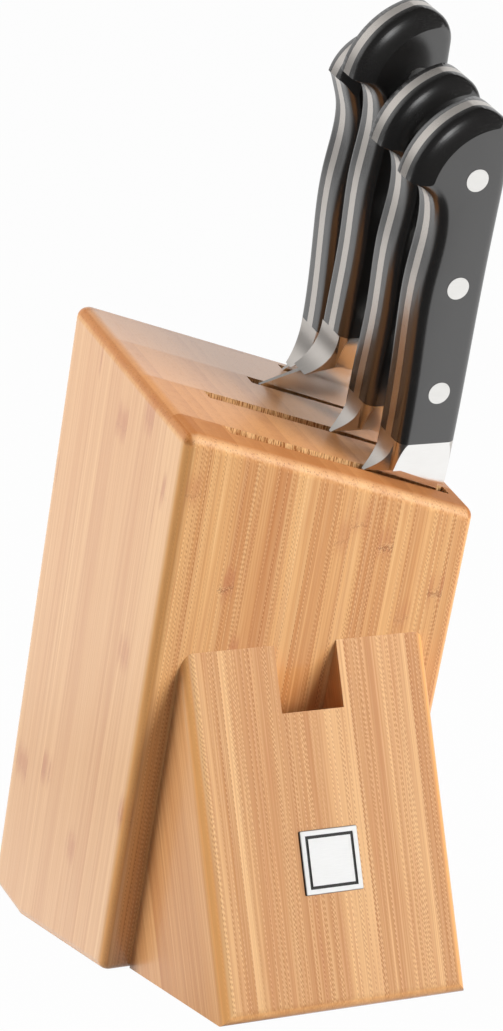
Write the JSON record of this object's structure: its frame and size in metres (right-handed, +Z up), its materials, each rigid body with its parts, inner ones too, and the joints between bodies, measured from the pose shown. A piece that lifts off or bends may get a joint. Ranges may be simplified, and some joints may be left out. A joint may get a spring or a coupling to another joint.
{
  "type": "knife block with knives",
  "caption": "Leaning bamboo knife block on a wedge foot with a notched shears pocket, slanted top and through slots that hold riveted full-tang forged kitchen knives, each of which lifts out.",
  "frame": {"origin": "on the floor below the middle of the whole set, knives in place", "axes": "+Z up, +X to the right across the block as seen from the foot, +Y towards the back; the block leans to -Y"},
  "size_m": [0.108, 0.1956, 0.3191],
  "materials": {
    "bamboo_board": "oiled, satin",
    "bamboo_foot": "oiled, satin",
    "plate_steel": "brushed",
    "dowel_wood": "raw",
    "foot_rubber": "matte",
    "blade_steel": "satin ground",
    "handle_black": "satin moulded",
    "rivet_steel": "polished flush"
  },
  "bodies": {
    "block": {"front_board": "bamboo_board", "second_board": "bamboo_board", "third_board": "bamboo_board", "fourth_board": "bamboo_board", "back_board": "bamboo_board", "prop_foot": "bamboo_foot", "badge_plate": "plate_steel", "foot_dowels": "dowel_wood", "rubber_feet": "foot_rubber"},
    "paring_knife": {"paring_blade": "blade_steel", "paring_front_scale": "handle_black", "paring_back_scale": "handle_black", "paring_rivets": "rivet_steel"},
    "chef_knife": {"chef_blade": "blade_steel", "chef_front_scale": "handle_black", "chef_back_scale": "handle_black", "chef_rivets": "rivet_steel"},
    "bread_knife": {"bread_blade": "blade_steel", "bread_front_scale": "handle_black", "bread_back_scale": "handle_black", "bread_rivets": "rivet_steel"},
    "carving_knife": {"carving_blade": "blade_steel", "carving_front_scale": "handle_black", "carving_back_scale": "handle_black", "carving_rivets": "rivet_steel"}
  },
  "joints": [
    {"name": "paring_lift", "type": "slide", "parent": "block", "child": "paring_knife", "axis": [0, -0.3502, 0.9367], "range_m": [0, 0.104]},
    {"name": "chef_lift", "type": "slide", "parent": "block", "child": "chef_knife", "axis": [0, -0.3502, 0.9367], "range_m": [0, 0.214]},
    {"name": "bread_lift", "type": "slide", "parent": "block", "child": "bread_knife", "axis": [0, -0.3502, 0.9367], "range_m": [0, 0.194]},
    {"name": "carving_lift", "type": "slide", "parent": "block", "child": "carving_knife", "axis": [0, -0.3502, 0.9367], "range_m": [0, 0.174]}
  ]
}
